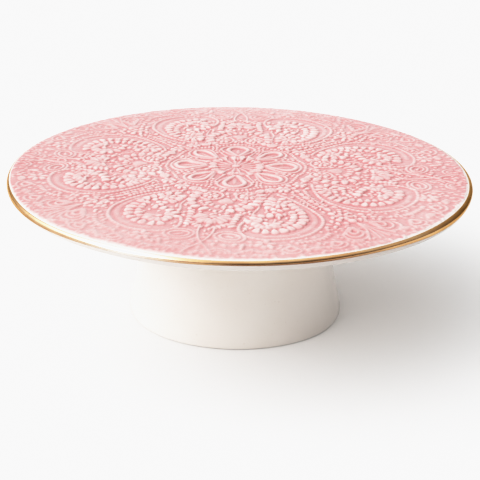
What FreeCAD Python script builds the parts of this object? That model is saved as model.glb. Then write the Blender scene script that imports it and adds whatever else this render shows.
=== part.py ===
import FreeCAD, Part
import os
import Sketcher

# A pedestal cake stand in glazed stoneware. A round slab with a pressed lace relief stands on a
# hollow cone-shaped pedestal. The two were joined wet with slip and an inner coil of clay.
# Frame: millimetres, +Z up, origin at the centre of the foot's contact plane.

DOC = FreeCAD.newDocument("cake_stand")

DIMENSIONS = {
    "overall_height": 91.0,        # contact plane to the highest points of the relief
    "plate_diameter": 280.0,       # across the rounded edge, over its lustre band
    "relief_height": 1.4,          # lace relief above the slab it is pressed on
    "relief_diameter": 271.0,      # the relief stops short of the edge and leaves a plain margin
    "relief_fade": 3.0,            # width over which the relief sinks into the margin
    "slab_thickness": 6.6,         # rolled clay slab, without its relief
    "edge_round_top": 2.6,         # radius of the slab's upper edge
    "lustre_thickness": 0.2,       # lustre band with the clear glaze under it
    "facet_angle": 13.0,           # turn of the band's section from one facet to the next
    "slip_thickness": 0.4,         # scored and slipped joint between pedestal and slab
    "slip_fillet": 2.5,            # slip smoothed into the outer corner
    "coil_leg": 5.0,               # coil of clay pressed into the inner corner
    "pedestal_top_diameter": 99.0,
    "pedestal_foot_diameter": 133.6,
    "pedestal_wall": 6.2,          # measured level, through the leaning wall
    "foot_height": 1.0,            # bare clay that the glaze stops short of
    "foot_setback": 0.6,           # step in from the glaze to the bare clay, on both sides
    "foot_bevel": 0.3,             # bevel that the foot was wiped to
}


def make_sheet(values):
    """Put each driving dimension in a cell of its own, under its name."""
    sheet = DOC.addObject("Spreadsheet::Sheet", "dims")
    for row, (name, value) in enumerate(values.items(), start=1):
        sheet.set(f"A{row}", name)
        sheet.set(f"B{row}", str(value))
        sheet.setAlias(f"B{row}", name)
    DOC.recompute()
    return sheet


SHEET = make_sheet(DIMENSIONS)

# Heights and radii that several pieces share, as expressions on the driving dimensions.
SLAB_TOP = "(dims.overall_height - dims.relief_height)"
SLAB_BOTTOM = f"({SLAB_TOP} - dims.slab_thickness)"
EDGE_RADIUS = "(dims.plate_diameter / 2)"
PEDESTAL_TOP = f"({SLAB_BOTTOM} - dims.slip_thickness)"
PEDESTAL_BOTTOM = "dims.foot_height"
OUTER_TOP = "(dims.pedestal_top_diameter / 2)"
OUTER_FOOT = "(dims.pedestal_foot_diameter / 2)"
INNER_TOP = f"({OUTER_TOP} - dims.pedestal_wall)"
INNER_FOOT = f"({OUTER_FOOT} - dims.pedestal_wall)"
LEAN = f"(({OUTER_FOOT} - {OUTER_TOP}) / ({PEDESTAL_TOP} - {PEDESTAL_BOTTOM}))"

BAND_FACETS = 6      # facets of the lustre band's section
X_AXIS = -1          # the sketcher's number for a sketch's own horizontal axis
Z_AXIS = -2          # and for its vertical axis, which is the stand's axis
START, END = 1, 2


def value_of(expression):
    return float(SHEET.evalExpression(expression))


def new_body(label):
    body = DOC.addObject("PartDesign::Body", label)
    body.Label = label
    return body


def meridian_sketch(body, name):
    """A sketch on the body's own XZ plane: its x is the radius and its y is the height."""
    sketch = body.newObject("Sketcher::SketchObject", name)
    plane = next(f for f in body.Origin.OriginFeatures if f.Role == "XZ_Plane")
    sketch.AttachmentSupport = [(plane, "")]
    sketch.MapMode = "FlatFace"
    return sketch


def drive(sketch, constraint, expression):
    """Add a dimension and bind it to its expression."""
    index = sketch.addConstraint(constraint)
    sketch.setExpression(f"Constraints[{index}]", expression)


def place_point(sketch, edge, end, radius, height):
    """Hold one end of an edge at a radius and a height; a radius of "0" puts it on the axis."""
    if radius == "0":
        sketch.addConstraint(Sketcher.Constraint("PointOnObject", edge, end, Z_AXIS))
    else:
        drive(sketch, Sketcher.Constraint("DistanceX", X_AXIS, 1, edge, end, value_of(radius)), radius)
    if height == "0":
        sketch.addConstraint(Sketcher.Constraint("PointOnObject", edge, end, X_AXIS))
    else:
        drive(sketch, Sketcher.Constraint("DistanceY", X_AXIS, 1, edge, end, value_of(height)), height)


def straight_profile(body, corners):
    """Draw a closed outline of straight sides through corners given as (radius, height)."""
    sketch = meridian_sketch(body, body.Label + "_profile")
    points = [FreeCAD.Vector(value_of(r), value_of(z), 0) for r, z in corners]
    for start, end in zip(points, points[1:] + points[:1]):
        sketch.addGeometry(Part.LineSegment(start, end), False)
    for edge, (radius, height) in enumerate(corners):
        before = (edge - 1) % len(corners)
        sketch.addConstraint(Sketcher.Constraint("Coincident", before, END, edge, START))
        place_point(sketch, edge, START, radius, height)
    return sketch


def revolve(body, sketch):
    """Turn a profile once round the stand's axis."""
    turned = body.newObject("PartDesign::Revolution", body.Label + "_turned")
    turned.Profile = sketch
    turned.ReferenceAxis = (sketch, ["V_Axis"])
    turned.Angle = 360.0
    body.Tip = turned
    DOC.recompute()
    return turned


def turned_body(label, corners):
    body = new_body(label)
    revolve(body, straight_profile(body, corners))
    return body


def circular_edge(shape, radius, height):
    """Name the circular edge of a turned shape that lies at a radius and a height."""
    for number, edge in enumerate(shape.Edges, start=1):
        middle = edge.valueAt(0.5 * (edge.FirstParameter + edge.LastParameter))
        on_radius = abs((middle.x ** 2 + middle.y ** 2) ** 0.5 - radius) < 1e-4
        if on_radius and abs(middle.z - height) < 1e-4:
            return f"Edge{number}"
    raise RuntimeError(f"no edge at radius {radius} and height {height}")


def make_plate():
    """The slab: a flat disc whose edge is rounded above and below, under the lustre band."""
    rim = f"({EDGE_RADIUS} - dims.lustre_thickness)"
    body = new_body("plate")
    profile = straight_profile(
        body, [("0", SLAB_BOTTOM), (rim, SLAB_BOTTOM), (rim, SLAB_TOP), ("0", SLAB_TOP)]
    )
    disc = revolve(body, profile)
    radii = {
        "upper": (SLAB_TOP, "dims.edge_round_top - dims.lustre_thickness"),
        "lower": (SLAB_BOTTOM, "dims.slab_thickness - dims.edge_round_top"),
    }
    for side, (height, radius) in radii.items():
        base = body.Tip
        rounded = body.newObject("PartDesign::Fillet", f"plate_{side}_round")
        rounded.Base = (base, [circular_edge(base.Shape, value_of(rim), value_of(height))])
        rounded.setExpression("Radius", radius)
        body.Tip = rounded
        DOC.recompute()
    if body.Shape.Volume >= disc.Shape.Volume:
        raise RuntimeError("the plate's edge was not rounded")
    return body


def make_lace_relief():
    """The pressed relief as a plain low disc that slopes down into the margin."""
    outer = "(dims.relief_diameter / 2)"
    inner = f"({outer} - dims.relief_fade)"
    return turned_body(
        "lace_relief",
        [("0", SLAB_TOP), (outer, SLAB_TOP), (inner, "dims.overall_height"), ("0", "dims.overall_height")],
    )


def arc_corners(centre_r, centre_z, radius):
    """Corners of a faceted arc from the widest line of the edge upwards."""
    return [
        (
            f"({centre_r} + {radius} * cos({facet} * dims.facet_angle * 1 deg))",
            f"({centre_z} + {radius} * sin({facet} * dims.facet_angle * 1 deg))",
        )
        for facet in range(BAND_FACETS + 1)
    ]


def make_gold_rim():
    """The lustre band: a thin faceted strip over the edge, from its widest line up and inwards."""
    slab_round = "(dims.edge_round_top - dims.lustre_thickness)"
    centre_r = f"({EDGE_RADIUS} - dims.edge_round_top)"
    centre_z = f"({SLAB_TOP} - {slab_round})"
    # The inner facets touch the slab's round edge at their middles, so their corners lie further out.
    clear_radius = f"({slab_round} / cos(dims.facet_angle / 2 * 1 deg))"
    outer = arc_corners(centre_r, centre_z, "dims.edge_round_top")
    inner = arc_corners(centre_r, centre_z, clear_radius)
    return turned_body("gold_rim", outer + inner[::-1])


def wall_radius(top_radius, drop):
    """Radius of a leaning face of the pedestal at a distance below its top."""
    return f"({top_radius} + {LEAN} * {drop})"


def make_slip_joint():
    """The slip between pedestal and slab, with the fillet smoothed into the outer corner."""
    return turned_body(
        "slip_joint",
        [
            (INNER_TOP, PEDESTAL_TOP),
            (OUTER_TOP, PEDESTAL_TOP),
            (wall_radius(OUTER_TOP, "dims.slip_fillet"), f"({PEDESTAL_TOP} - dims.slip_fillet)"),
            (f"({OUTER_TOP} + dims.slip_fillet)", SLAB_BOTTOM),
            (INNER_TOP, SLAB_BOTTOM),
        ],
    )


def make_luting_coil():
    """The coil of clay pressed into the corner inside the pedestal, under the slab."""
    return turned_body(
        "luting_coil",
        [
            (INNER_TOP, SLAB_BOTTOM),
            (INNER_TOP, PEDESTAL_TOP),
            (wall_radius(INNER_TOP, "dims.coil_leg"), f"({PEDESTAL_TOP} - dims.coil_leg)"),
            (f"({INNER_TOP} - dims.coil_leg / 2)", f"({PEDESTAL_TOP} - dims.coil_leg / 2)"),
            (f"({INNER_TOP} - dims.coil_leg)", SLAB_BOTTOM),
        ],
    )


def make_pedestal():
    """The hollow pedestal: a straight-sided cone of even wall, open at the bottom."""
    return turned_body(
        "pedestal",
        [
            (INNER_FOOT, PEDESTAL_BOTTOM),
            (OUTER_FOOT, PEDESTAL_BOTTOM),
            (OUTER_TOP, PEDESTAL_TOP),
            (INNER_TOP, PEDESTAL_TOP),
        ],
    )


def make_foot_ring():
    """The bare clay foot that the stand rests on, stepped in from the glaze and bevelled."""
    outer = f"({OUTER_FOOT} - dims.foot_setback)"
    inner = f"({INNER_FOOT} + dims.foot_setback)"
    return turned_body(
        "foot_ring",
        [
            (f"({inner} + dims.foot_bevel)", "0"),
            (f"({outer} - dims.foot_bevel)", "0"),
            (outer, "dims.foot_bevel"),
            (outer, PEDESTAL_BOTTOM),
            (inner, PEDESTAL_BOTTOM),
            (inner, "dims.foot_bevel"),
        ],
    )


def check_document():
    """Stop if any object failed to compute."""
    DOC.recompute()
    for thing in DOC.Objects:
        if "Invalid" in thing.State or "Error" in thing.State:
            raise RuntimeError(f"{thing.Label} did not compute: {thing.State}")


def write_parts(bodies):
    """Check every piece and write it to a file of its own."""
    os.makedirs("parts", exist_ok=True)
    for body in bodies:
        shape = body.Shape
        if shape.isNull() or not shape.isValid() or len(shape.Solids) != 1:
            raise RuntimeError(f"{body.Label} is not one valid solid")
    for body in bodies:
        body.Shape.exportStep(f"parts/{body.Label}.step")
        print(f"{body.Label}: {body.Shape.Volume / 1000:.2f} cm3")


PIECES = [
    make_plate(),
    make_lace_relief(),
    make_gold_rim(),
    make_slip_joint(),
    make_luting_coil(),
    make_pedestal(),
    make_foot_ring(),
]

check_document()
write_parts(PIECES)
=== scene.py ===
import math
import bpy
import numpy as np
from mathutils import Euler, Matrix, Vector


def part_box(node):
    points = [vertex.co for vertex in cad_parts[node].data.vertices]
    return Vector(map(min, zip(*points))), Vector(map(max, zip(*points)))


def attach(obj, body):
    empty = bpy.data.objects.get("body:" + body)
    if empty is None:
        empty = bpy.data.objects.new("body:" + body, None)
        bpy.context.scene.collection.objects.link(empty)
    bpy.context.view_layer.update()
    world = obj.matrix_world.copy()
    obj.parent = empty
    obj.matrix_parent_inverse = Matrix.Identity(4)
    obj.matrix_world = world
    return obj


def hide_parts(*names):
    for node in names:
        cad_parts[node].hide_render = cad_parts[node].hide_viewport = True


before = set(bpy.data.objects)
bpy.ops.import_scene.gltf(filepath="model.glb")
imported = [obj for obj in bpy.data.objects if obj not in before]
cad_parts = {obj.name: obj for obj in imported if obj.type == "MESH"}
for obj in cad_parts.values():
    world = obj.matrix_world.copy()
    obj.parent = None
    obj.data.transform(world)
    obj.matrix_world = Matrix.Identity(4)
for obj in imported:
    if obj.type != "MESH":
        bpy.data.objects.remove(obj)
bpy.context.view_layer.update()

# A glazed stoneware cake stand: pink lace relief, gold lustre edge, hollow white pedestal.
# Every size comes from the frame; only the looks of each piece are added here. Metres, +Z up.

# ---------------------------------------------------------------- lace pattern
# The pressed lace is drawn into a height field over the whole plate, in fractions of its radius.
# A motif is laid out once, in an eighth of the circle: angle 0 lies on the gap between two pairs
# of paisleys and 45 between the two of a pair. It is then laid eight times, a little differently every time.
PITCH = 0.00135                            # one cell of the field
SIDE = int(round(2.0 / PITCH))             # cells across the plate
LACE = np.zeros((SIDE, SIDE))
SMOOTH = np.zeros((SIDE, SIDE), bool)      # where the ground stays plain
hand = np.random.default_rng(41)


def unit(angle):
    """The unit vector that points along an angle."""
    return np.array([math.cos(angle), math.sin(angle)])


def smoothstep(value, low, high):
    """0 below low, 1 above high, and a smooth rise between."""
    t = np.clip((value - low) / (high - low), 0, 1)
    return t * t * (3 - 2 * t)


class Sector:
    """One laying of the motif: a quarter turn of the pattern, as drawn or mirrored."""

    def __init__(self, quarter, mirrored):
        self.quarter = 90 * quarter
        self.side = -1 if mirrored else 1

    def bearing(self, radius, degrees):
        """Where an angle of the drawing falls on the plate: the lace was not laid quite evenly."""
        turn = self.quarter + self.side * degrees
        outer = -4.9 + 3.8 * math.sin(math.radians(turn)) - 1.0 * math.cos(math.radians(turn))
        return turn + outer * smoothstep(radius, 0.28, 0.53) - 1.7 * (1 - smoothstep(radius, 0.28, 0.53))

    def at(self, radius, degrees):
        """Where a point of the drawing falls on the plate."""
        turn = math.radians(self.bearing(radius, degrees))
        share = smoothstep(radius, 0.28, 0.53)
        centre = np.array([-0.011 + 0.004 * share, 0.021 - 0.021 * share])
        return centre + radius * unit(turn)

    def toward(self, radius, degrees, lean):
        """The direction on the plate that leans by an angle from straight outward at a point."""
        return math.radians(self.bearing(radius, degrees) + self.side * lean)

    def path(self, points):
        return [self.at(*point) for point in points]


def window(centre, reach):
    """The cells within reach of a centre, with their offsets from it."""
    first = [max(0, int((c - reach + 1) / PITCH)) for c in centre]
    last = [max(0, int((c + reach + 1) / PITCH) + 2) for c in centre]
    part = np.s_[first[0]:last[0], first[1]:last[1]]
    x = np.arange(first[0], min(last[0], SIDE)) * PITCH - 1 - centre[0]
    y = np.arange(first[1], min(last[1], SIDE)) * PITCH - 1 - centre[1]
    return part, x[:, None], y[None, :]


def press(part, heights):
    """Raise the pattern to the given heights where they stand above it."""
    LACE[part] = np.maximum(LACE[part], heights)


def leaf(centre, direction, length, width, height, taper=0.3, vein=0.0, stray=1.0):
    """A plump leaf, narrower at its far end, a little different every time it is pressed."""
    shift, turn, size, tall, tip, roll = hand.normal(0, stray, 6)
    centre = centre + 0.05 * length * shift * unit(3 * turn)
    direction = direction + 0.13 * turn
    length, width = length * (1 + 0.07 * size), width * (1 + 0.07 * roll)
    height = height * (1 + 0.09 * tall)
    part, x, y = window(centre, 1.1 * max(length, width))
    u = (x * math.cos(direction) + y * math.sin(direction)) / length
    v = (-x * math.sin(direction) + y * math.cos(direction)) / width
    spread = np.abs(v) / (1 - taper * u)
    body = np.clip(1 - np.abs(u) ** 2.4 - spread ** 2.2, 0, 1) ** 0.42
    body = body * (1 + 0.16 * np.clip(tip, -1, 1) * u + 0.16 * np.clip(roll, -1, 1) * v)
    if vein:
        body = body * (1 - vein * np.exp(-(v / 0.2) ** 2) * (u < 0.7))
    press(part, height * body)


def smooth_path(points, closed=False):
    """A smooth line through a few points, with eight steps between each two of them."""
    points = np.array(points, float)
    if closed:
        points = np.vstack([points[-1], points, points[:2]])
    else:
        points = np.vstack([2 * points[0] - points[1], points, 2 * points[-1] - points[-2]])
    t = np.linspace(0, 1, 8, endpoint=False)[:, None]
    path = []
    for a, b, c, d in zip(points, points[1:], points[2:], points[3:]):
        path.append(0.5 * (2 * b + (c - a) * t + (2 * a - 5 * b + 4 * c - d) * t ** 2
                           + (3 * b - a - 3 * c + d) * t ** 3))
    return np.vstack(path + [points[-2][None]])


def thread(points, width, height, closed=False, twist=0.0):
    """A raised line; twist cuts it across like a cord."""
    path = smooth_path(points, closed)
    run = 0.0
    for a, b in zip(path, path[1:]):
        step = b - a
        length = math.hypot(*step)
        if length < 1e-9:
            continue
        part, x, y = window(0.5 * (a + b), 0.5 * length + width)
        x, y = x + 0.5 * step[0], y + 0.5 * step[1]
        t = np.clip((x * step[0] + y * step[1]) / length ** 2, 0, 1)
        distance = np.hypot(x - t * step[0], y - t * step[1]) / width
        cut = 1 - twist * np.abs(np.sin(np.pi * (run + t * length) / (2.1 * width)))
        press(part, height * np.clip(1 - distance ** 2, 0, 1) ** 0.6 * cut)
        run += length


def keep_smooth(points, width):
    """Leave the ground plain along a line."""
    for centre in smooth_path(points):
        part, x, y = window(centre, width)
        SMOOTH[part] |= np.hypot(x, y) < width


def row(points, length, width, height, pitch, taper=0.3, vein=0.0, lean=0.0):
    """Leaves side by side across a line, their narrow ends to its left."""
    path = smooth_path(points)
    steps = np.hypot(*np.diff(path, axis=0).T)
    run = np.concatenate([[0], np.cumsum(steps)])
    count = max(1, round(run[-1] / pitch))
    for k in range(count):
        where = (k + 0.5) / count * run[-1]
        n = min(int(np.searchsorted(run, where)) - 1, len(steps) - 1)
        step = path[n + 1] - path[n]
        centre = path[n] + step * (where - run[n]) / steps[n]
        across = math.atan2(step[1], step[0]) + math.pi / 2
        leaf(centre, across + lean, length, width, height, taper, vein)


def ring(centre, radius, count, length, width, height, start=0.0):
    """A whorl of leaves round a centre, wide ends out."""
    for k in range(count):
        turn = start + 2 * math.pi * k / count
        leaf(centre + radius * unit(turn), turn, length, width, height, taper=-0.35, stray=0.8)


def oval(centre, direction, length, width, line, height, twist=0.0):
    """The outline of an oval as a closed raised line."""
    along = unit(direction)
    across = np.array([-along[1], along[0]])
    turns = np.radians(range(0, 360, 40))
    thread([centre + length * math.cos(t) * along + width * math.sin(t) * across for t in turns],
           line, height, closed=True, twist=twist)


def petal(root, direction, length, width, line, height):
    """The outline of a petal as a raised line, open at its root."""
    along = unit(direction)
    across = np.array([-along[1], along[0]])
    section = ((0.0, 0.12), (0.3, 0.62), (0.62, 1.0), (0.88, 0.72), (1.0, 0.0))
    outline = [root + along * length * u + across * width * v for u, v in section]
    outline += [root + along * length * u - across * width * v for u, v in section[-2::-1]]
    thread(outline, line, height)


# ---------------------------------------------------------------- motifs laid once per quarter
def rosette_petals(s):
    """Wide double petals on the gap's axis, narrower ones on the pair's axis, round a boss."""
    for degrees, wide, inner, line in ((0, 0.076, 0.045, 0.0130), (45, 0.060, 0.034, 0.0115)):
        direction = s.toward(0.1, degrees, 0)
        petal(s.at(0.126, degrees), direction, 0.160, wide, 0.0075, 0.60)
        petal(s.at(0.136, degrees), direction, 0.130, inner, line, 0.90)
        leaf(s.at(0.190, degrees), direction, 0.044, 0.010, 0.32, stray=0.5)
        leaf(s.at(0.100, degrees), direction, 0.019, 0.0105, 0.85, taper=-0.5)


def axis_motifs(s):
    """What lies on the two axes outside the rosette."""
    # A smooth three-cornered leaf, beads under it, then a fan and crossed stems to the border.
    for spread in (-24, 0, 24):
        bearing = s.toward(0.415, 0, spread)
        place = s.at(0.415, 0) + 0.012 * unit(bearing)
        leaf(place, bearing, 0.036, 0.023, 0.62, taper=-0.4, stray=0.3)
    for k in range(9):
        lean = -80 + 20 * k
        bearing = s.toward(0.45, 0, lean)
        place = s.at(0.418, 0) + 0.078 * unit(bearing)
        leaf(place, bearing, 0.017, 0.0115, 0.65, taper=-0.3)
    for k in range(11):
        lean = -100 + 20 * k
        bearing = s.toward(0.60, 0, lean)
        root = s.at(0.598, 0)
        reach = 0.052 if k % 2 else 0.040
        leaf(root + reach * unit(bearing), bearing, 0.030, 0.0135, 0.9, taper=-0.45)
    leaf(s.at(0.598, 0), s.toward(0.6, 0, 0), 0.017, 0.017, 0.8)
    for side in (1, -1):
        thread([s.at(0.700, 2.5 * side), s.at(0.755, 2.3 * side), s.at(0.806, 1.4 * side), s.at(0.852, 0),
                s.at(0.905, -2.0 * side), s.at(0.958, -3.4 * side)], 0.0056, 0.75)
        row([s.at(0.665, 6.5 * side), s.at(0.715, 1.6 * side)], 0.017, 0.010, 0.7, 0.019)
    for radius in (0.875, 0.905, 0.935):
        leaf(s.at(radius, 0), s.toward(radius, 0, 0), 0.014, 0.009, 0.55)
    # On the pair's axis: leaves in a column, then the root of a palmette with its fanned stems.
    for radius in (0.325, 0.358, 0.392, 0.428, 0.465, 0.502, 0.538, 0.572, 0.606):
        leaf(s.at(radius, 45), s.toward(radius, 45, 0), 0.018, 0.0105, 0.75, vein=0.3)
    ring(s.at(0.700, 45), 0.022, 6, 0.017, 0.0110, 0.85)
    leaf(s.at(0.755, 45), s.toward(0.755, 45, 0), 0.022, 0.016, 0.9)
    for lean in (-16, -5.5, 5.5, 16):
        root = s.at(0.782, 45)
        bearing = s.toward(0.782, 45, lean)
        far = s.toward(0.782, 45, 1.5 * lean)
        middle = root + 0.075 * unit(bearing)
        end = root + 0.160 * unit(far)
        thread([root, middle, end], 0.0062, 0.72)
    for lean in (-10.5, 0, 10.5):
        bearing = s.toward(0.782, 45, 1.25 * lean)
        place = s.at(0.782, 45) + 0.128 * unit(bearing)
        leaf(place, bearing, 0.038, 0.0075, 0.4, taper=-0.3)


# ---------------------------------------------------------------- motifs laid eight times
def rosette_half(s):
    """Between the rosette's petals: stamens, narrow leaves, beads and a scalloped edge."""
    for degrees, radius in ((10.5, 0.104), (33.0, 0.108)):
        leaf(s.at(radius, degrees), s.toward(radius, degrees, 0), 0.025, 0.0165, 1.0, taper=-0.5, vein=0.18,
             stray=1.5)
        thread([s.at(0.028, degrees), s.at(0.088, degrees)], 0.0048, 0.6)
    for degrees in (5.2, 16.2, 27.4, 39.0):
        thread([s.at(0.032, degrees), s.at(0.070, degrees)], 0.0036, 0.4)
    leaf(s.at(0.135, 21.8), s.toward(0.135, 21.8, 0), 0.016, 0.0085, 0.75, taper=-0.3)
    thread([s.at(0.15, 21.8), s.at(0.19, 22.5), s.at(0.225, 23)], 0.0055, 0.55)
    beads = [(0.200, 18), (0.200, 27), (0.228, 20.5), (0.228, 25.5), (0.248, 18.5), (0.250, 23),
             (0.248, 27.5), (0.270, 21), (0.270, 25)]
    for radius, degrees in beads:
        leaf(s.at(radius, degrees), s.toward(radius, degrees, 0), 0.0095, 0.0085, 0.7)
    scallop = [(0.304, -2), (0.304, 6), (0.298, 14), (0.290, 20), (0.290, 25), (0.296, 32), (0.303, 39),
               (0.303, 47)]
    row(s.path(scallop), 0.0095, 0.0080, 0.60, 0.0190)


def inner_half(s):
    """Between the rosette and the paisleys: flowers, shells and a chain of big leaves."""
    flower = s.at(0.380, 11.5)
    oval(flower, 0, 0.049, 0.049, 0.0075, 0.75, twist=0.3)
    ring(flower, 0.023, 7, 0.0155, 0.0105, 0.9)
    leaf(flower, 0, 0.009, 0.009, 0.95)
    chain = [(0.322, 19.0), (0.370, 20.6), (0.425, 19.0), (0.472, 15.6), (0.510, 10.6), (0.532, 4.0)]
    row(s.path(chain), 0.025, 0.0175, 1.0, 0.0385, taper=0.25 * s.side, vein=0.12, lean=0.35 * s.side)
    row(s.path([(0.352, 4.0), (0.352, 1.0)]), 0.016, 0.010, 0.7, 0.018)
    for spread in (-34, -12, 12, 34):
        bearing = s.toward(0.312, 27, spread)
        leaf(s.at(0.312, 27) + 0.024 * unit(bearing), bearing, 0.024, 0.0105, 0.9, taper=-0.4, vein=0.3)
    ring(s.at(0.348, 37.5), 0.019, 6, 0.0155, 0.0105, 0.9)
    leaf(s.at(0.348, 37.5), 0, 0.008, 0.008, 0.8)
    beside = [(0.395, 40.0), (0.435, 41.6), (0.480, 42.4), (0.530, 42.6), (0.580, 42.6)]
    row(s.path(beside), 0.0105, 0.0085, 0.6, 0.0175)


def paisley(s):
    """One bean-shaped paisley: a cord round it, a plain border, rows of leaves and two whorls."""
    cord = [(0.388, 31.0), (0.425, 35.0), (0.490, 38.4), (0.560, 39.6), (0.630, 39.2), (0.698, 37.4),
            (0.757, 33.8), (0.800, 28.8), (0.820, 22.8), (0.815, 16.8), (0.786, 11.8), (0.735, 9.6),
            (0.680, 9.6), (0.632, 11.4)]
    thread(s.path(cord), 0.0092, 0.80, twist=0.38)
    plain = [(0.415, 29.6), (0.455, 33.8), (0.520, 36.8), (0.595, 36.9), (0.660, 35.2), (0.716, 31.8),
             (0.757, 27.2), (0.778, 21.8), (0.770, 16.2), (0.740, 12.6)]
    keep_smooth(s.path(plain), 0.017)
    thread([s.at(r + 0.012, d + 0.6) for r, d in plain[1:-1]], 0.012, 0.26)
    leaves = [(0.520, 23.4), (0.468, 23.2), (0.428, 25.8), (0.428, 30.0), (0.468, 33.2), (0.530, 34.6),
              (0.600, 34.0), (0.664, 31.6), (0.712, 27.8), (0.738, 22.8), (0.738, 17.6), (0.716, 14.0)]
    row(s.path(leaves), 0.0235, 0.0158, 1.0, 0.0352, taper=-0.5 * s.side, vein=0.15)
    second = [(0.555, 31.4), (0.606, 30.6), (0.652, 28.2), (0.688, 24.8), (0.700, 20.8)]
    row(s.path(second), 0.0185, 0.0138, 0.92, 0.0310, taper=-0.5 * s.side, vein=0.15)
    crossing = [(0.590, 26.8), (0.580, 22.2), (0.588, 17.6), (0.614, 13.8), (0.652, 12.2)]
    row(s.path(crossing), 0.0225, 0.0160, 1.0, 0.0350, taper=-0.4 * s.side)
    # The large whorl: blunt petals cut apart on one side and a smooth scroll on the other.
    head = s.at(0.660, 18.8)
    for k in range(8):
        lean = -150 + 31 * k
        bearing = s.toward(0.66, 18.8, lean)
        leaf(head + 0.040 * unit(bearing), bearing, 0.0225, 0.0150, 1.0, taper=-0.45, stray=0.7)
    leaf(head, s.toward(0.66, 18.8, 30), 0.019, 0.0115, 0.75)
    thread([head, s.at(0.672, 21.0), s.at(0.690, 21.4), s.at(0.700, 19.8)], 0.0075, 0.8)
    tail = s.at(0.478, 28.6)
    ring(tail, 0.022, 6, 0.0170, 0.0120, 0.95, start=0.4)
    leaf(tail, 0, 0.0095, 0.0095, 0.85)
    for radius, degrees in ((0.528, 30.6), (0.540, 27.2), (0.526, 24.8), (0.556, 24.4)):
        leaf(s.at(radius, degrees), s.toward(radius, degrees, 60), 0.0155, 0.0115, 0.85)
    outside = [(0.365, 25.6), (0.392, 22.6), (0.438, 20.0), (0.500, 18.2), (0.555, 15.2)]
    thread(s.path(outside), 0.0062, 0.55, twist=0.3)


def gap_half(s):
    """Beside the gap's axis: leaves down the paisley's flank, feathered ovals and a star."""
    flank = [(0.560, 9.8), (0.605, 8.6), (0.650, 7.6), (0.700, 7.4)]
    row(s.path(flank), 0.0175, 0.0115, 0.85, 0.0220, lean=0.5 * s.side)
    centre, out = s.at(0.790, 7.2), s.toward(0.79, 7.2, 62)
    oval(centre, out, 0.058, 0.046, 0.0080, 0.66, twist=0.25)
    oval(centre, out, 0.039, 0.028, 0.0072, 0.62)
    leaf(centre, out, 0.019, 0.0085, 0.55)
    ring(s.at(0.860, 16.0), 0.025, 6, 0.0205, 0.0125, 0.95, start=0.3)
    leaf(s.at(0.880, 10.2), s.toward(0.88, 10.2, 0), 0.028, 0.0100, 0.85, taper=0.3)
    for reach in (0.026, 0.042):
        loop = [s.at(0.945, 5.0) + reach * unit(s.toward(0.945, 5.0, lean)) for lean in range(95, 270, 30)]
        thread(loop, 0.0062, 0.55)
    leaf(s.at(0.935, 5.2), s.toward(0.93, 5.2, 0), 0.012, 0.009, 0.5)


def palmette_half(s):
    """Heart loops either side of the palmette's stems, and small leaves between it and the cord."""
    root, bearing = s.at(0.802, 41.6), s.toward(0.80, 41.6, -24)
    along = unit(bearing)
    for size, line, height in ((1.0, 0.0068, 0.65), (0.68, 0.0066, 0.68), (0.36, 0.0074, 0.75)):
        petal(root + 0.030 * (1 - size) * along, bearing, 0.128 * size, 0.046 * size, line, height)
    scattered = [(0.655, 43.2, 20), (0.688, 41.6, -30), (0.722, 42.0, 20), (0.722, 39.4, -20),
                 (0.750, 40.2, 0), (0.775, 38.0, -40), (0.760, 42.4, 30)]
    for radius, degrees, lean in scattered:
        leaf(s.at(radius, degrees), s.toward(radius, degrees, lean), 0.0165, 0.0105, 0.85)
    fringe = [(0.815, 34.8), (0.848, 31.6), (0.862, 27.6), (0.868, 23.4)]
    row(s.path(fringe), 0.0135, 0.0095, 0.75, 0.0190)


def border_half(s):
    """The outermost band of hearts and sprays, out to the plain margin."""
    for degrees, lean in ((22.0, -12), (32.6, 10)):
        root, bearing = s.at(0.888, degrees), s.toward(0.888, degrees, lean)
        along = unit(bearing)
        for size, height in ((1.0, 0.62), (0.55, 0.68)):
            petal(root + 0.016 * (1 - size) * along, bearing, 0.066 * size, 0.036 * size, 0.0062, height)
    for degrees in (16.5, 27.4, 38.0):
        for spread in (-40, -14, 14, 40):
            bearing = s.toward(0.908, degrees, spread)
            leaf(s.at(0.906, degrees) + 0.022 * unit(bearing), bearing, 0.0195, 0.0085, 0.7, taper=-0.35)


def fill_ground(tries=9000):
    """Small leaves wherever the lace still leaves bare ground."""
    for _ in range(tries):
        radius, turn = 0.978 * math.sqrt(hand.random()), 2 * math.pi * hand.random()
        size, lean, tall = hand.uniform(0.0080, 0.0160), hand.uniform(-0.9, 0.9), hand.uniform(0.45, 0.80)
        if radius < 0.30:
            continue
        centre = radius * unit(turn)
        probe = [centre] + [centre + 0.70 * size * unit(t) for t in range(6)]
        cells = [(int((p[0] + 1) / PITCH), int((p[1] + 1) / PITCH)) for p in probe]
        if any(LACE[c] > 0.22 or SMOOTH[c] for c in cells):
            continue
        leaf(centre, turn + lean, size, 0.68 * size, tall, taper=0.25)


leaf(Sector(0, False).at(0, 0), 0.0, 0.0215, 0.0215, 1.0, stray=0)
for quarter in range(4):
    for motif in (rosette_petals, axis_motifs):
        motif(Sector(quarter, False))
    for mirrored in (False, True):
        for motif in (rosette_half, inner_half, paisley, gap_half, palmette_half, border_half):
            motif(Sector(quarter, mirrored))
fill_ground()


# ---------------------------------------------------------------- sizes from the frame
MM = 0.001
plate_low, plate_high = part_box("plate")
relief_low, relief_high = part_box("lace_relief")
rim_low, rim_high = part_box("gold_rim")
wall_low, wall_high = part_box("pedestal")
foot_low, foot_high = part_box("foot_ring")
slip_low, slip_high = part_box("slip_joint")
coil_low, coil_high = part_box("luting_coil")

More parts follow.
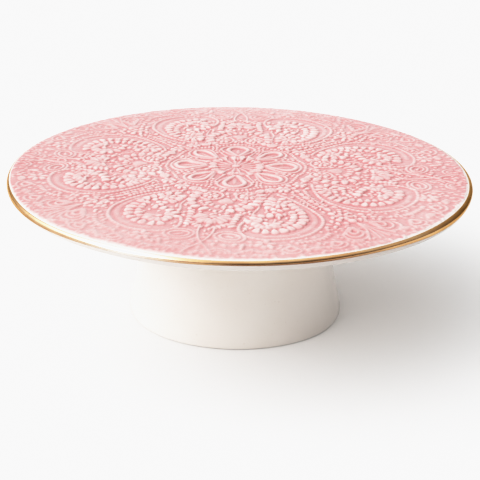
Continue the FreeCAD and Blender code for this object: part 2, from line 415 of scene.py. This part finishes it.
RIM = rim_high[0]                       # outer radius over the lustre
TOP = plate_high[2]                     # slab's top, the level of the plain margin
UNDERSIDE = plate_low[2]
WIDEST = rim_low[2]                     # height of the widest line of the edge
RELIEF_HEIGHT = relief_high[2] - relief_low[2]
WALL_TOP = wall_high[2]
WALL_FOOT = wall_low[2]
FOOT_RADIUS = wall_high[0]              # pedestal's outer radius at its foot
FILLET = WALL_TOP - slip_low[2]         # radius of the slip's fillet
NECK_RADIUS = slip_high[0] - FILLET     # pedestal's outer radius at its top
COIL_LEG = WALL_TOP - coil_low[2]       # how far the coil reaches down the wall and in under the slab
LEAN = (FOOT_RADIUS - NECK_RADIUS) / (WALL_TOP - WALL_FOOT)
WALL = NECK_RADIUS - (coil_high[0] - LEAN * COIL_LEG)    # the wall's thickness, measured level


# ---------------------------------------------------------------- mesh helpers
def new_piece(name, points, faces, material, slot, *nodes):
    """A smooth-shaded piece of the stand that stands for CAD nodes."""
    mesh = bpy.data.meshes.new(name)
    mesh.from_pydata([tuple(p) for p in points], [], faces)
    mesh.update()
    mesh.shade_smooth()
    piece = bpy.data.objects.new(name, mesh)
    bpy.context.scene.collection.objects.link(piece)
    mesh.materials.append(material)
    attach(piece, "root")
    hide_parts(*nodes)
    return piece


def set_attribute(piece, name, values):
    """Keep a number per point for the piece's material; points without one get 0."""
    attribute = piece.data.attributes.new(name, "FLOAT", "POINT")
    data = np.zeros(len(piece.data.vertices))
    data[: len(values)] = values
    attribute.data.foreach_set("value", data)


def lattice_noise(x, y, cell, seed):
    """Smooth noise between -1 and 1 from a seeded lattice with the given cell."""
    lattice = np.random.default_rng(seed).uniform(-1, 1, (256, 256))
    u, v = x / cell + 128.0, y / cell + 128.0
    i, j = np.floor(u).astype(int), np.floor(v).astype(int)
    fu, fv = u - i, v - j
    fu, fv = fu * fu * (3 - 2 * fu), fv * fv * (3 - 2 * fv)
    i, j = i % 255, j % 255
    low = lattice[i, j] * (1 - fu) + lattice[i + 1, j] * fu
    high = lattice[i, j + 1] * (1 - fu) + lattice[i + 1, j + 1] * fu
    return low * (1 - fv) + high * fv


def arc(centre_r, centre_z, radius_r, radius_z, start, stop, count):
    """Points of an elliptical arc in the section plane, from one angle to another in degrees."""
    turns = np.radians(np.linspace(start, stop, count))
    return [(centre_r + radius_r * math.cos(t), centre_z + radius_z * math.sin(t)) for t in turns]


def straight(start, stop, count):
    """Points of a straight side without its ends."""
    return [
        (start[0] + (stop[0] - start[0]) * k / (count + 1), start[1] + (stop[1] - start[1]) * k / (count + 1))
        for k in range(1, count + 1)
    ]


def turned(name, section, wobble, material, slot, node, spokes=360):
    """Revolve a closed section, each point moved by wobble(angle, radius, height)."""
    points, faces = [], []
    count = len(section)
    on_axis = {k for k, (r, _) in enumerate(section) if r == 0.0}
    index = {}
    for s in range(spokes):
        angle = 2 * math.pi * s / spokes
        for k, (r, z) in enumerate(section):
            if k in on_axis:
                if s == 0:
                    index[0, k] = len(points)
                    points.append((0.0, 0.0, z))
                index[s, k] = index[0, k]
                continue
            dr, dz = wobble(angle, r, z)
            index[s, k] = len(points)
            points.append(((r + dr) * math.cos(angle), (r + dr) * math.sin(angle), z + dz))
    for s in range(spokes):
        after = (s + 1) % spokes
        for k in range(count):
            following = (k + 1) % count
            if k in on_axis and following in on_axis:
                continue
            face = [index[s, k], index[after, k], index[after, following], index[s, following]]
            faces.append([v for n, v in enumerate(face) if v not in face[:n]])
    return new_piece(name, points, faces, material, slot, node)


# ---------------------------------------------------------------- materials
def new_material(name):
    """A material with its node tree and its shader."""
    material = bpy.data.materials.new(name)
    material.use_nodes = True
    tree = material.node_tree
    shader = tree.nodes["Principled BSDF"]
    return material, tree, shader


def node(tree, kind, inputs=(), **settings):
    """A node with its settings, and its inputs given as values or as other nodes' outputs."""
    made = tree.nodes.new(kind)
    for key, value in settings.items():
        setattr(made, key, value)
    for key, value in dict(inputs).items():
        if isinstance(value, bpy.types.NodeSocket):
            tree.links.new(value, made.inputs[key])
        else:
            made.inputs[key].default_value = value
    return made


def noise(tree, scale, detail=3.0, roughness=0.5, stretch=(1, 1, 1)):
    """Noise over the object's own metres, as a number about 0.5."""
    place = node(tree, "ShaderNodeTexCoord").outputs["Object"]
    if stretch != (1, 1, 1):
        place = node(tree, "ShaderNodeMapping", {"Vector": place, "Scale": stretch}).outputs[0]
    made = node(tree, "ShaderNodeTexNoise", {"Vector": place, "Scale": scale, "Detail": detail,
                                             "Roughness": roughness})
    return made.outputs["Fac"]


def remap(tree, value, low, high, to_low, to_high):
    """Stretch a value's range from low and high to two others, and hold it inside them."""
    made = node(tree, "ShaderNodeMapRange", {"Value": value, "From Min": low, "From Max": high,
                                             "To Min": to_low, "To Max": to_high})
    return made.outputs["Result"]


def math_node(tree, operation, first, second=0.0):
    return node(tree, "ShaderNodeMath", {0: first, 1: second}, operation=operation).outputs[0]


def mix_colour(tree, factor, first, second):
    made = node(tree, "ShaderNodeMix", {"Factor": factor, "A": first, "B": second}, data_type="RGBA")
    return made.outputs["Result"]


def ramp(tree, value, stops):
    """A colour between stops of a place and a colour."""
    made = node(tree, "ShaderNodeValToRGB", {"Fac": value})
    elements = made.color_ramp.elements
    while len(elements) < len(stops):
        elements.new(0.5)
    for element, (place, colour) in zip(elements, stops):
        element.position = place
        element.color = (*colour, 1.0)
    return made.outputs["Color"]


def bump(tree, height, strength, distance):
    made = node(tree, "ShaderNodeBump", {"Height": height, "Strength": strength, "Distance": distance})
    return made.outputs["Normal"]


def glaze_gloss(shader, coat, specular):
    """Fired glaze: a hard clear layer over the colour."""
    shader.inputs["IOR"].default_value = 1.5
    shader.inputs["Specular IOR Level"].default_value = specular
    shader.inputs["Coat Weight"].default_value = coat
    shader.inputs["Coat Roughness"].default_value = 0.06
    shader.inputs["Coat IOR"].default_value = 1.5


def make_white_glaze():
    """Clear glaze over white clay: faint warm clouds, tiny pinholes and a soft orange-peel surface."""
    material, tree, shader = new_material("white_glaze")
    clouds = noise(tree, 22.0, detail=4.0)
    colour = ramp(tree, clouds, ((0.30, (0.790, 0.715, 0.650)), (0.52, (0.812, 0.745, 0.685)),
                                 (0.72, (0.830, 0.770, 0.715))))
    # Painted shade under the slab: the underside is darkened towards a warm grey, by the share set in
    # make_slab.
    under = node(tree, "ShaderNodeAttribute", attribute_name="underside").outputs["Fac"]
    colour = mix_colour(tree, under, colour, (0.545, 0.485, 0.445, 1))
    specks = remap(tree, noise(tree, 620.0, detail=2.0), 0.70, 0.78, 0.0, 0.35)
    colour = mix_colour(tree, specks, colour, (0.56, 0.47, 0.38, 1))
    tree.links.new(colour, shader.inputs["Base Color"])
    tree.links.new(remap(tree, noise(tree, 60.0), 0.3, 0.7, 0.16, 0.26), shader.inputs["Roughness"])
    fine = math_node(tree, "MULTIPLY", noise(tree, 190.0), 0.14)
    peel = math_node(tree, "ADD", noise(tree, 34.0, detail=1.0), fine)
    tree.links.new(bump(tree, peel, 0.35, 1.6 * MM), shader.inputs["Normal"])
    glaze_gloss(shader, 0.10, 0.28)
    return material


def make_pink_glaze():
    """Translucent pink glaze that pools in the relief's hollows and runs thin over its heights."""
    material, tree, shader = new_material("pink_glaze")
    height = node(tree, "ShaderNodeAttribute", attribute_name="glaze_thin").outputs["Fac"]
    margin = node(tree, "ShaderNodeAttribute", attribute_name="margin").outputs["Fac"]
    patches = noise(tree, 17.0, detail=4.0)
    mottle = noise(tree, 260.0, detail=3.0, roughness=0.6)
    level = math_node(tree, "ADD", height, remap(tree, patches, 0.3, 0.7, -0.10, 0.10))
    level = math_node(tree, "ADD", level, remap(tree, mottle, 0.3, 0.7, -0.09, 0.09))
    colour = ramp(tree, level, ((0.05, (0.520, 0.115, 0.120)), (0.28, (0.580, 0.187, 0.187)),
                                (0.50, (0.635, 0.275, 0.268)), (0.80, (0.730, 0.418, 0.400)),
                                (1.00, (0.815, 0.548, 0.520))))
    edge = math_node(tree, "ADD", margin, remap(tree, mottle, 0.3, 0.7, -0.25, 0.25))
    colour = mix_colour(tree, remap(tree, edge, 0.10, 1.10, 0.0, 1.0), colour, (0.82, 0.74, 0.70, 1))
    tree.links.new(colour, shader.inputs["Base Color"])
    tree.links.new(remap(tree, noise(tree, 90.0), 0.3, 0.7, 0.20, 0.34), shader.inputs["Roughness"])
    peel = math_node(tree, "ADD", noise(tree, 420.0), noise(tree, 110.0, detail=2.0))
    tree.links.new(bump(tree, peel, 0.30, 0.5 * MM), shader.inputs["Normal"])
    glaze_gloss(shader, 0.5, 0.5)
    return material


def make_gold_lustre():
    """Brushed-on lustre, fired: a warm mirror with streaks along the edge."""
    material, tree, shader = new_material("gold_lustre")
    shader.inputs["Metallic"].default_value = 1.0
    shader.inputs["Specular Tint"].default_value = (1.0, 0.72, 0.45, 1.0)
    streaks = noise(tree, 46.0, detail=5.0, stretch=(1, 1, 14))
    colour = ramp(tree, streaks, ((0.30, (0.540, 0.270, 0.105)), (0.50, (0.640, 0.350, 0.150)),
                                  (0.72, (0.720, 0.440, 0.210))))
    # Painted light on the lustre: a pale painted glare at the front left, and a dark brown painted reflection
    # along its lower border and on the right.
    painted_glare = node(tree, "ShaderNodeAttribute", attribute_name="painted_glare").outputs["Fac"]
    colour = mix_colour(tree, painted_glare, colour, (0.960, 0.880, 0.790, 1))
    painted_dark_reflection = node(tree, "ShaderNodeAttribute", attribute_name="painted_dark_reflection").outputs["Fac"]
    painted_dark_reflection = math_node(tree, "ADD", painted_dark_reflection, remap(tree, noise(tree, 60.0), 0.3, 0.7, -0.15, 0.15))
    colour = mix_colour(tree, remap(tree, painted_dark_reflection, 0.15, 0.95, 0.0, 0.95), colour, (0.170, 0.068, 0.030, 1))
    tree.links.new(colour, shader.inputs["Base Color"])
    tree.links.new(remap(tree, streaks, 0.3, 0.7, 0.26, 0.14), shader.inputs["Roughness"])
    tree.links.new(bump(tree, noise(tree, 150.0), 0.25, 0.4 * MM), shader.inputs["Normal"])
    return material


def make_bare_clay():
    """Unglazed stoneware, wiped: fine grog, darker where it was handled."""
    material, tree, shader = new_material("bare_clay")
    grain = noise(tree, 900.0, detail=4.0, roughness=0.7)
    stain = noise(tree, 38.0, detail=3.0)
    colour = ramp(tree, math_node(tree, "ADD", grain, remap(tree, stain, 0.3, 0.7, -0.15, 0.15)),
                  ((0.25, (0.44, 0.34, 0.25)), (0.55, (0.60, 0.50, 0.40)), (0.80, (0.72, 0.63, 0.53))))
    tree.links.new(colour, shader.inputs["Base Color"])
    tree.links.new(remap(tree, grain, 0.3, 0.7, 0.75, 0.92), shader.inputs["Roughness"])
    tree.links.new(bump(tree, grain, 0.5, 0.3 * MM), shader.inputs["Normal"])
    return material


WHITE_GLAZE = make_white_glaze()
PINK_GLAZE = make_pink_glaze()
GOLD_LUSTRE = make_gold_lustre()
BARE_CLAY = make_bare_clay()


# ---------------------------------------------------------------- slab and lustre band
# Places round the edge are in degrees from +X, so the front of the stand is at -90.
EDGE_IN = 4.2 * MM       # how far in the rounding of the upper edge starts
EDGE_UNDER = 3.5 * MM    # and that of the lower edge
LUSTRE_SINK = 0.05 * MM  # how far the lustre's borders are sunk into the glaze


def near(angle, place, spread):
    """1 at a place round the edge, in degrees, falling to 0 away from it."""
    away = (np.degrees(angle) - place + 180) % 360 - 180
    return np.exp(-(away / spread) ** 2)


def hand_rim(angle):
    """How far the hand-finished edge strays from a true circle."""
    waves = np.sin(2 * angle + 0.6) + 0.6 * np.sin(3 * angle + 2.1) + 0.5 * np.sin(7 * angle)
    return (0.35 * waves + 1.35 * near(angle, -25, 38)) * MM


def rim_wobble(angle, radius, height):
    """How far a point of the slab is moved outward and up, from nothing at 0.9 of its radius."""
    share = np.maximum(0.0, (radius / RIM - 0.9) / 0.1)
    lift = (0.25 * np.sin(2 * angle + 1.1) + 0.12 * np.sin(5 * angle)) * MM
    # The widest line of the edge runs a little higher on the right than on the left.
    middle = np.maximum(0.0, 4 * (TOP - height) * (height - UNDERSIDE) / (TOP - UNDERSIDE) ** 2)
    lift = lift + middle * 0.45 * MM * (np.cos(angle + 0.5) + near(angle, -42, 24))
    return share * hand_rim(angle), share * lift


def lustre_low(angle):
    """Lower border of the lustre round the edge, as a turn in degrees like edge_point's."""
    raised = 9.0 * near(angle, -80, 30) + 4.0 * near(angle, -145, 30) - 6.0 * near(angle, -35, 22)
    return -18 + raised + 2.5 * np.sin(3 * angle + 0.4) + 2.0 * np.sin(11 * angle)


def lustre_high(angle):
    """Its upper border."""
    waves = 3.0 * np.cos(angle + 0.4) + 2.5 * np.sin(2 * angle + 2.0) + 2.0 * np.sin(9 * angle + 1.0)
    return 51 + 10.0 * near(angle, -28, 20) + waves


def edge_point(turn):
    """A point of the slab's edge: 0 is its widest line and 90 the start of the flat top."""
    t = math.radians(turn)
    if turn < 0:
        return RIM - EDGE_UNDER + EDGE_UNDER * math.cos(t), WIDEST + (WIDEST - UNDERSIDE) * math.sin(t)
    return RIM - EDGE_IN + EDGE_IN * math.cos(t), WIDEST + (TOP - WIDEST) * math.sin(t)


def make_slab():
    """The white slab: a rounded edge, and a top sunk under the relief."""
    skin = 0.04 * MM     # the slab lies this far under the lustre band's outer face
    upper = [(r - skin, z) for r, z in arc(RIM - EDGE_IN, WIDEST, EDGE_IN, TOP - WIDEST, 90, 0, 13)]
    lower = [(r - skin, z) for r, z in
             arc(RIM - EDGE_UNDER, WIDEST, EDGE_UNDER, WIDEST - UNDERSIDE, 0, -90, 11)[1:]]
    top_in = (RIM - EDGE_IN - 2 * MM, TOP)
    sunk = (RIM - EDGE_IN - 6 * MM, TOP - 0.3 * MM)
    section = [(0.0, sunk[1])] + straight((0.0, sunk[1]), sunk, 6) + [sunk, top_in] + upper + lower
    section += straight(lower[-1], (0.0, UNDERSIDE), 8) + [(0.0, UNDERSIDE)]
    piece = turned("plate_slab", section[::-1], rim_wobble, WHITE_GLAZE, "white_glaze", "plate", spokes=480)
    # Painted shade on the underside (dull holds its strength): a little everywhere, more in a strip along the
    # edge, and most of all at the front right.
    x, y, height = np.array([point.co for point in piece.data.vertices]).T
    shade_strip = smoothstep(np.hypot(x, y), RIM - 16 * MM, RIM - 5 * MM)
    dull = 0.15 + shade_strip * (0.35 + 0.60 * near(np.arctan2(y, x), -50, 45))
    set_attribute(piece, "underside", np.clip((WIDEST - height) / (0.8 * MM), 0, 1) * dull)
    return piece


def make_lustre():
    """A thin band over the edge whose two borders were painted by hand."""
    spokes, steps = 720, 14
    points, faces, painted_dark_reflection, painted_glare = [], [], [], []
    for s in range(spokes):
        angle = 2 * math.pi * s / spokes
        low, high = lustre_low(angle), lustre_high(angle)
        for outside in (0.05 * MM, -0.12 * MM):    # the band's outer face, then its inner one
            order = range(steps + 1) if outside > 0 else range(steps, -1, -1)
            for k in order:
                turn = low + (high - low) * k / steps
                r, z = edge_point(turn)
                out, up = rim_wobble(angle, r, z)
                t = math.radians(turn)
                # It is painted on thin at its borders.
                reach = 0.2 * outside if outside > 0 and k in (0, steps) else outside
                r += out + reach * math.cos(t) - LUSTRE_SINK
                points.append((r * math.cos(angle), r * math.sin(angle), z + up + reach * math.sin(t)))
                # Painted dark reflection: the lower border is darkened at the front and left, and the upper
                # part on the right.
                front = min(1.0, 1.4 * near(angle, -79, 17))
                under = (1 - k / steps) ** 1.2 * (0.25 + 0.9 * front + 0.6 * near(angle, -150, 26))
                painted_dark_reflection.append(under + 0.80 * near(angle, -22, 25) * min(1.0, 1.6 * k / steps))
                # Painted glare: a pale patch at the front left, where the window's reflection falls.
                painted_glare.append(0.85 * near(angle, -114, 9) + 0.15 * near(angle, -136, 17))
    row_length = 2 * (steps + 1)
    for s in range(spokes):
        this, after = s * row_length, (s + 1) % spokes * row_length
        for k in range(row_length):
            following = (k + 1) % row_length
            faces.append([this + k, after + k, after + following, this + following])
    piece = new_piece("gold_lustre_band", points, faces, GOLD_LUSTRE, "gold_lustre", "gold_rim")
    set_attribute(piece, "painted_dark_reflection", painted_dark_reflection)
    set_attribute(piece, "painted_glare", painted_glare)
    return piece


# ---------------------------------------------------------------- lace relief
DISC_STEPS = 560         # cells of the relief's grid along each side


def blur(field, sigma):
    """Soften a pattern with a Gaussian of sigma cells."""
    reach = int(3 * sigma) + 1
    kernel = np.exp(-0.5 * (np.arange(-reach, reach + 1) / sigma) ** 2)
    kernel /= kernel.sum()
    for axis in (0, 1):
        field = sum(k * np.roll(field, n - reach, axis) for n, k in enumerate(kernel))
    return field


def read_field(field, x, y):
    """The field's value at points given in plate radii, between its cells."""
    u, v = (x + 1) / PITCH, (y + 1) / PITCH
    i = np.clip(np.floor(u).astype(int), 0, SIDE - 2)
    j = np.clip(np.floor(v).astype(int), 0, SIDE - 2)
    fu, fv = np.clip(u - i, 0, 1), np.clip(v - j, 0, 1)
    low = field[i, j] * (1 - fu) + field[i + 1, j] * fu
    high = field[i, j + 1] * (1 - fu) + field[i + 1, j + 1] * fu
    return low * (1 - fv) + high * fv


def disc_grid(steps):
    """Points of a square grid bent to fill a disc of radius 1, in rows."""
    a, b = np.meshgrid(np.linspace(-1, 1, steps + 1), np.linspace(-1, 1, steps + 1), indexing="ij")
    wide = np.abs(a) > np.abs(b)
    ratio = np.where(wide, b / np.where(a == 0, 1, a), a / np.where(b == 0, 1, b))
    reach = np.where(wide, a, b)
    turn = math.pi / 4 * ratio
    x = np.where(wide, reach * np.cos(turn), reach * np.sin(turn))
    y = np.where(wide, reach * np.sin(turn), reach * np.cos(turn))
    return x.ravel(), y.ravel()


def make_relief():
    """The pressed lace and its pink glaze, as one sheet over the slab with a thin back."""
    gap, back = 0.3 * MM, 0.2 * MM      # kept clear along the lustre, and the sheet's thickness
    x, y = disc_grid(DISC_STEPS)
    turn = np.arctan2(y, x)
    # The pink glaze runs out over the edge's rounding, nearly to the lustre.
    reach = RIM - EDGE_IN * (1 - np.cos(np.radians(lustre_high(turn)))) - gap
    radius = reach * np.hypot(x, y)
    x, y = reach * x, reach * y
    inside = reach - radius
    over = np.clip((radius - RIM + EDGE_IN) / EDGE_IN, 0, 1)
    base = WIDEST + (TOP - WIDEST) * np.sqrt(1 - over ** 2)
    # The lace gives a little when it is pressed.
    px = x / RIM + 0.0035 * lattice_noise(x / RIM, y / RIM, 0.10, 1)
    py = y / RIM + 0.0035 * lattice_noise(x / RIM, y / RIM, 0.10, 3)
    # It was pressed less deep towards the edge, and least of all at the front left and at the back.
    faint, far = near(turn, -115, 34), near(turn, 95, 65)
    outer = smoothstep(radius / RIM, 0.62, 0.92)
    crisp, dull = read_field(blur(LACE, 0.9), px, py), read_field(blur(LACE, 3.0), px, py)
    value = crisp + (dull - crisp) * outer * (0.20 + 0.55 * np.abs(np.sin(turn)) + 0.25 * faint)
    around = read_field(blur(LACE, 6.0), px, py)
    pressed = 1.0 + 0.14 * lattice_noise(px, py, 0.16, 5) + 0.08 * lattice_noise(px, py, 0.04, 6)
    pressed = pressed * (1 - 0.25 * outer)
    lumps = 0.5 + 0.5 * lattice_noise(px, py, 0.016, 7) * (0.6 + 0.4 * lattice_noise(px, py, 0.009, 8))
    fade = np.clip(inside / ((1.8 + 3.2 * faint + 4.5 * far) * MM), 0, 1) ** 0.6
    # The glaze stops short of the lustre, raggedly, and furthest on the right.
    plain = near(turn, -32, 34)
    ragged = plain * (0.9 + 0.9 * lattice_noise(px, py, 0.035, 9) + 0.5 * lattice_noise(px, py, 0.014, 10))
    pink = np.clip((inside - ragged * MM) / ((0.7 + 3.0 * faint + 0.9 * far + 0.5 * plain) * MM), 0, 1)
    height = np.minimum(np.clip(value * pressed, 0, 1.15) * 0.84 + 0.10 * lumps, 1.0)
    # Its border is sunk into the slab, so that no gap shows.
    sunk = 0.12 * MM - 0.15 * MM * np.clip(inside / ((0.4 + 1.2 * faint) * MM), 0, 1)
    z = base - sunk + RELIEF_HEIGHT * 0.94 * height * fade
    out, up = rim_wobble(turn, radius, base)
    points = np.stack([x + out * np.cos(turn), y + out * np.sin(turn), z + up], axis=1).tolist()
    row_length = DISC_STEPS + 1
    corners = (i * row_length + j for i in range(DISC_STEPS) for j in range(DISC_STEPS))
    faces = [[k, k + row_length, k + row_length + 1, k + 1] for k in corners]
    # A thin back closes the piece, just under the slab's surface.
    last = DISC_STEPS * row_length
    border = list(range(DISC_STEPS)) + [i * row_length + DISC_STEPS for i in range(DISC_STEPS)]
    border += [last + j for j in range(DISC_STEPS, 0, -1)]
    border += [i * row_length for i in range(DISC_STEPS, 0, -1)]
    start = len(points)
    points += [[points[k][0], points[k][1], points[k][2] - back] for k in border]
    points.append([0.0, 0.0, TOP - 0.8 * MM])
    count = len(border)
    for n in range(count):
        after = (n + 1) % count
        faces.append([border[n], border[after], start + after, start + n])
        faces.append([start + n, start + after, start + count])
    piece = new_piece("lace_relief_surface", points, faces, PINK_GLAZE, "pink_glaze", "lace_relief")
    # The glaze runs off what stands higher than its surroundings.
    thin = np.clip(0.45 + 2.2 * (value - around), 0, 1) * 0.68 + 0.32 * np.clip(value, 0, 1)
    thin = thin + (0.52 - thin) * outer * (0.10 + 0.40 * np.abs(np.sin(turn)) + 0.20 * faint)
    set_attribute(piece, "glaze_thin", thin)
    set_attribute(piece, "margin", 1 - pink)
    return piece


# ---------------------------------------------------------------- pedestal
def wall_wobble(angle, radius, height):
    """The pedestal was built by hand: its wall is not quite round, straight or central."""
    out = 0.22 * math.sin(2 * angle + 0.9) + 0.12 * math.sin(3 * angle + height * 60)
    out += 0.10 * math.sin(5 * angle + height * 110 + 1.7) - 1.1 * math.cos(angle)
    spread = 2.7 * near(angle, -40, 27) + 1.8 * near(angle, -136, 30) + 0.5 * near(angle, -90, 30)
    out += spread * (WALL_TOP - height) / WALL_TOP
    return out * MM, 0.0


def outer_radius(z):
    """The leaning wall's outer radius at a height."""
    return NECK_RADIUS + LEAN * (WALL_TOP - z)


def make_pedestal():
    """The hollow wall. Its glaze ends in a rounded lip that hangs a little over the bare foot."""
    roll = 0.29 * MM
    start = WALL_FOOT - 0.30 * MM
    outside = [(outer_radius(z), z) for z in np.linspace(WALL_TOP, start, 28)]
    lip = arc(outer_radius(start) - roll, start, roll, roll, -20, -180, 7)
    inner_lip = arc(outer_radius(start) - WALL + roll, start, roll, roll, 0, -160, 7)
    inside = [(outer_radius(z) - WALL, z) for z in np.linspace(start, WALL_TOP, 20)]
    floor_line = [(lip[-1][0], WALL_FOOT), (inner_lip[0][0], WALL_FOOT)]
    section = outside + lip + floor_line + inner_lip + inside + straight(inside[-1], outside[0], 2)
    return turned("pedestal_wall", section, wall_wobble, WHITE_GLAZE, "white_glaze", "pedestal")


def make_slip_fillet():
    """Slip smoothed to a hollow curve between the wall and the slab's underside."""
    low = WALL_TOP - FILLET
    curve = arc(NECK_RADIUS + FILLET + 0.3 * MM, low, FILLET, UNDERSIDE - low, 90, 180, 9)[::-1]
    curve[0] = (outer_radius(low) - 0.1 * MM, low)
    section = curve + [(NECK_RADIUS - 0.8 * WALL, UNDERSIDE), (NECK_RADIUS - 0.8 * WALL, WALL_TOP),
                       (outer_radius(low) - 1.0 * MM, WALL_TOP - 0.2 * MM)]
    return turned("slip_fillet", section[::-1], wall_wobble, WHITE_GLAZE, "white_glaze", "slip_joint")


def make_coil():
    """The coil pressed into the inner corner, dragged up with a finger."""
    corner = NECK_RADIUS - WALL
    low = WALL_TOP - COIL_LEG
    curve = arc(corner - COIL_LEG, low, COIL_LEG, UNDERSIDE - low, 90, 0, 10)
    section = [(r - 0.6 * MM * math.sin(math.pi * k / (len(curve) - 1)), z) for k, (r, z) in enumerate(curve)]
    section += [(corner + LEAN * COIL_LEG, low), (corner + 0.2 * MM, UNDERSIDE)]

    def dragged(angle, radius, height):
        marks = 0.4 * MM * math.sin(23 * angle) * max(0.0, (corner - radius) / COIL_LEG)
        return marks + wall_wobble(angle, radius, height)[0], 0.0

    return turned("luting_coil", section, dragged, WHITE_GLAZE, "white_glaze", "luting_coil")


def make_foot():
    """The bare ring under the glaze, set back on both sides and reaching up into the lip."""
    low, high = foot_low[2], foot_high[2] + 0.3 * MM
    outer, bevel = foot_high[0], 0.3 * MM
    inner = outer - WALL + 2 * (FOOT_RADIUS - outer)
    section = [(outer, high), (outer, low + bevel), (outer - bevel, low), (inner + bevel, low),
               (inner, low + bevel), (inner, high)]
    return turned("bare_foot", section[::-1], wall_wobble, BARE_CLAY, "bare_clay", "foot_ring")


make_slab()
make_lustre()
make_relief()
make_pedestal()
make_slip_fillet()
make_coil()
make_foot()


# ---------------------------------------------------------------- floor, light and camera
def make_floor():
    """A plain pale table top, which isn't part of the stand."""
    bpy.ops.mesh.primitive_plane_add(size=24.0, location=(0, 0, 0))
    floor = bpy.context.object
    floor.name = "floor"
    material, _, shader = new_material("floor")
    shader.inputs["Base Color"].default_value = (0.86, 0.86, 0.86, 1)
    shader.inputs["Roughness"].default_value = 0.9
    shader.inputs["Specular IOR Level"].default_value = 0.1
    floor.data.materials.append(material)


def make_world():
    """A room lit from tall windows, as broad soft patches of light."""
    # Azimuth and elevation in degrees, tightness, strength and tint.
    patches = (
        (215, 35, 14, 7.6, (1.0, 1.0, 1.0)),         # a large window, front left
        (165, 35, 14, 3.3, (0.98, 0.99, 1.0)),       # a second one, behind left
        (165, 55, 14, 2.1, (0.98, 0.99, 1.0)),       # its top
        (165, 15, 14, 0.95, (0.98, 0.99, 1.0)),      # and its foot
        (190, 30, 14, 1.0, (0.98, 0.99, 1.0)),       # the wall between the two
        (90, 12, 7, 1.15, (0.99, 0.995, 1.0)),       # the pale sweep behind
        (90, 78, 7, 1.65, (0.99, 0.995, 1.0)),       # the ceiling
        (5, 40, 7, 0.45, (1.0, 0.97, 0.94)),         # a pale wall on the right
        (285, 35, 7, 0.12, (1.0, 1.0, 1.0)),         # the dim side of the room, in front
        (275, 68, 7, 0.30, (1.0, 1.0, 1.0)),         # the ceiling above it
    )
    world = bpy.data.worlds.new("studio")
    bpy.context.scene.world = world
    world.use_nodes = True
    tree = world.node_tree
    direction = node(tree, "ShaderNodeTexCoord").outputs["Generated"]
    total = (0.02, 0.02, 0.02)
    for azimuth, elevation, tightness, strength, tint in patches:
        a, e = math.radians(azimuth), math.radians(elevation)
        toward = (math.cos(a) * math.cos(e), math.sin(a) * math.cos(e), math.sin(e))
        facing = node(tree, "ShaderNodeVectorMath", {0: direction, 1: toward}, operation="DOT_PRODUCT")
        behind = math_node(tree, "SUBTRACT", facing.outputs["Value"], 1.0)
        behind = math_node(tree, "MULTIPLY", behind, tightness)
        glow = math_node(tree, "MULTIPLY", math_node(tree, "EXPONENT", behind), strength)
        total = node(tree, "ShaderNodeVectorMath", {0: tint, 1: glow, 2: total},
                     operation="MULTIPLY_ADD").outputs["Vector"]
    background = tree.nodes["Background"]
    tree.links.new(total, background.inputs["Color"])


def make_response():
    """The camera's response: straight in the middle, with a soft shoulder up to white."""
    view = bpy.context.scene.view_settings
    view.view_transform = "Standard"
    view.use_curve_mapping = True
    mapping = view.curve_mapping
    mapping.clip_max_x = 4.0
    curve = mapping.curves[3]
    curve.points[0].location = (0.0, 0.0)
    curve.points[1].location = (4.0, 0.955)
    for place in ((0.5, 0.5), (0.7, 0.675), (0.9, 0.80), (1.1, 0.885), (1.3, 0.93), (1.6, 0.945)):
        curve.points.new(*place)
    mapping.update()


def make_camera():
    """Seen from the front and above, as a long lens on a tripod sees it."""
    distance, elevation = 4.8 * RIM, math.radians(19.04)
    pitch, yaw, roll = math.radians(22.85), math.radians(0.13), math.radians(1.14)
    level = TOP + 0.5 * RELIEF_HEIGHT
    camera = bpy.data.cameras.new("camera")
    camera.sensor_width, camera.lens = 36.0, 81.975     # both in mm
    camera.clip_start = 0.01
    stand = bpy.data.objects.new("camera", camera)
    place = (0.0, -distance * math.cos(elevation), level + distance * math.sin(elevation))
    look = Euler((math.pi / 2 - pitch, 0.0, -yaw)).to_matrix().to_4x4()
    stand.matrix_world = Matrix.Translation(place) @ look @ Matrix.Rotation(roll, 4, "Z")
    bpy.context.scene.collection.objects.link(stand)
    bpy.context.scene.camera = stand


make_floor()
make_world()
make_camera()
make_response()
